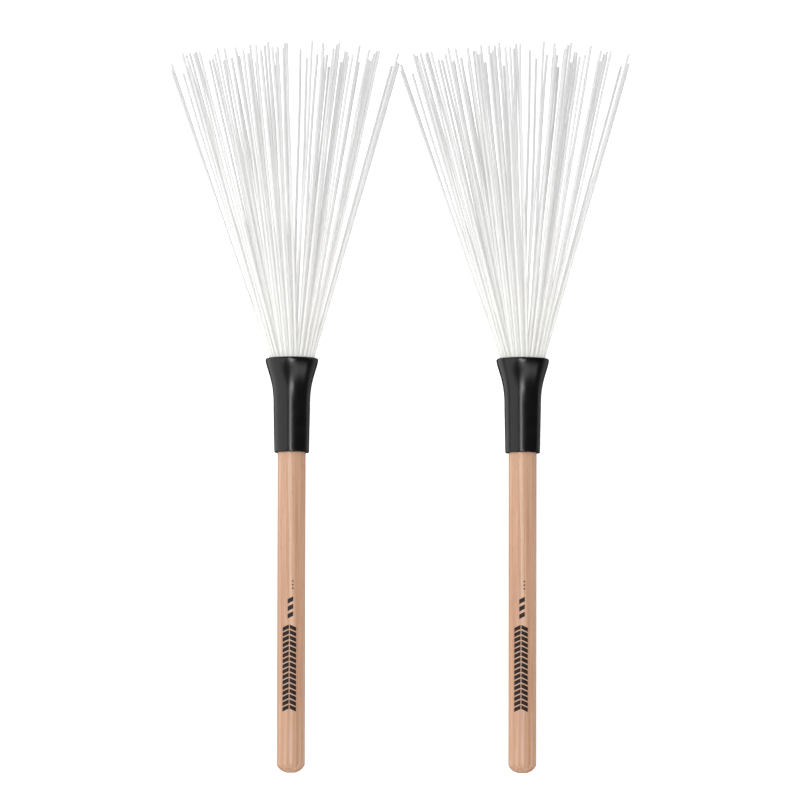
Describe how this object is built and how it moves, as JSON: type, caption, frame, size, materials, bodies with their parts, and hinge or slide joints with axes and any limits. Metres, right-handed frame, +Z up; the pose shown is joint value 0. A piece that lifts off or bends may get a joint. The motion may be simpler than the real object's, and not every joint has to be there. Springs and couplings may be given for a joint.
{
  "type": "drum brushes",
  "caption": "Pair of drum brushes: turned wooden handles, flared black rubber collars and fanned bundles of translucent nylon bristles, lying side by side.",
  "frame": {"origin": "on the surface that the pair lies on, at the middle of its length and width", "axes": "+Y along the brushes from the butts to the bristle tips, +X from the left brush to the right one, +Z up"},
  "size_m": [0.2418, 0.3824, 0.0766],
  "materials": {
    "hardwood": "pale pinkish hardwood, fine lengthwise grain, thin satin lacquer",
    "rubber": "black moulded rubber with a soft gloss",
    "aluminium": "plain drawn tube",
    "resin": "cured amber adhesive",
    "nylon": "milky translucent nylon filament"
  },
  "bodies": {
    "left_brush": {"left_handle": "hardwood", "left_collar": "rubber", "left_ferrule": "aluminium", "left_bond_plug": "resin"},
    "left_bristles": {"left_tuft_01": "nylon", "left_tuft_02": "nylon", "left_tuft_03": "nylon", "left_tuft_04": "nylon", "left_tuft_05": "nylon", "left_tuft_06": "nylon", "left_tuft_07": "nylon", "left_tuft_08": "nylon", "left_tuft_09": "nylon", "left_tuft_10": "nylon", "left_tuft_11": "nylon", "left_tuft_12": "nylon", "left_tuft_13": "nylon", "left_tuft_14": "nylon", "left_tuft_15": "nylon", "left_tuft_16": "nylon", "left_tuft_17": "nylon", "left_tuft_18": "nylon", "left_tuft_19": "nylon", "left_tuft_20": "nylon"},
    "right_brush": {"right_handle": "hardwood", "right_collar": "rubber", "right_ferrule": "aluminium", "right_bond_plug": "resin"},
    "right_bristles": {"right_tuft_01": "nylon", "right_tuft_02": "nylon", "right_tuft_03": "nylon", "right_tuft_04": "nylon", "right_tuft_05": "nylon", "right_tuft_06": "nylon", "right_tuft_07": "nylon", "right_tuft_08": "nylon", "right_tuft_09": "nylon", "right_tuft_10": "nylon", "right_tuft_11": "nylon", "right_tuft_12": "nylon", "right_tuft_13": "nylon", "right_tuft_14": "nylon", "right_tuft_15": "nylon", "right_tuft_16": "nylon", "right_tuft_17": "nylon", "right_tuft_18": "nylon", "right_tuft_19": "nylon", "right_tuft_20": "nylon"}
  },
  "joints": [
    {"name": "left_bristle_flex", "type": "hinge", "parent": "left_brush", "child": "left_bristles", "pos_m": [-0.05612, 0.02564, 0.01391], "axis": [1, 0, 0], "range_deg": [0, 30], "stiffness_Nm_per_rad": 0.52, "deforming": ["left_tuft_01", "left_tuft_02", "left_tuft_03", "left_tuft_04", "left_tuft_05", "left_tuft_06", "left_tuft_07", "left_tuft_08", "left_tuft_09", "left_tuft_10", "left_tuft_11", "left_tuft_12", "left_tuft_13", "left_tuft_14", "left_tuft_15", "left_tuft_16", "left_tuft_17", "left_tuft_18", "left_tuft_19", "left_tuft_20"]},
    {"name": "right_bristle_flex", "type": "hinge", "parent": "right_brush", "child": "right_bristles", "pos_m": [0.06468, 0.02564, 0.01391], "axis": [1, 0, 0], "range_deg": [0, 30], "stiffness_Nm_per_rad": 0.52, "deforming": ["right_tuft_01", "right_tuft_02", "right_tuft_03", "right_tuft_04", "right_tuft_05", "right_tuft_06", "right_tuft_07", "right_tuft_08", "right_tuft_09", "right_tuft_10", "right_tuft_11", "right_tuft_12", "right_tuft_13", "right_tuft_14", "right_tuft_15", "right_tuft_16", "right_tuft_17", "right_tuft_18", "right_tuft_19", "right_tuft_20"]},
    {"name": "right_brush_lift", "type": "slide", "parent": "left_brush", "child": "right_brush", "axis": [0, 0, 1], "range_m": [0, 0.2]}
  ]
}
